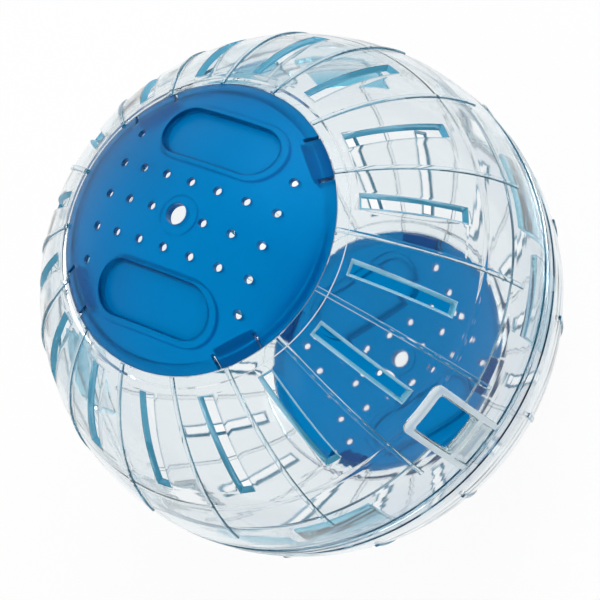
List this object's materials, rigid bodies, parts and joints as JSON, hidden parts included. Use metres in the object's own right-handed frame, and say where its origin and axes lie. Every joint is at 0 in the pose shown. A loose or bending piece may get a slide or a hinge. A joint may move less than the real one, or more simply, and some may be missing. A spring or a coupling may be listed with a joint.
{
  "type": "hamster ball",
  "caption": "Clear plastic exercise ball for a hamster: snap-together slotted half shells and domed translucent blue end caps with air holes, finger grips and axle holes.",
  "frame": {"origin": "centre of the ball, on the parting plane of the two half shells", "axes": "+Z along the axis of the ball, from the lower cap to the upper cap; the latch windows of the upper half face +Y and -Y"},
  "size_m": [0.1814, 0.1814, 0.1798],
  "materials": {
    "clear_shell": "clear polished polystyrene",
    "blue_cap": "translucent blue polished polystyrene"
  },
  "bodies": {
    "lower_cap": {"lower_cap": "blue_cap", "lower_cap_tongues": "blue_cap"},
    "lower_half": {"lower_half": "clear_shell", "lower_snap_hooks": "clear_shell"},
    "upper_half": {"upper_half": "clear_shell", "upper_snap_hooks": "clear_shell"},
    "upper_cap": {"upper_cap": "blue_cap", "upper_cap_tongues": "blue_cap"}
  },
  "joints": [
    {"name": "lower_cap_pull", "type": "slide", "parent": "lower_cap", "child": "lower_half", "axis": [0, 0, 1], "range_m": [0, 0.06], "deforming": ["lower_cap_tongues"]},
    {"name": "halves_pull", "type": "slide", "parent": "lower_half", "child": "upper_half", "axis": [0, 0, 1], "range_m": [0, 0.1], "deforming": ["upper_snap_hooks", "lower_snap_hooks"]},
    {"name": "upper_cap_pull", "type": "slide", "parent": "upper_half", "child": "upper_cap", "axis": [0, 0, 1], "range_m": [0, 0.06], "deforming": ["upper_cap_tongues"]}
  ]
}
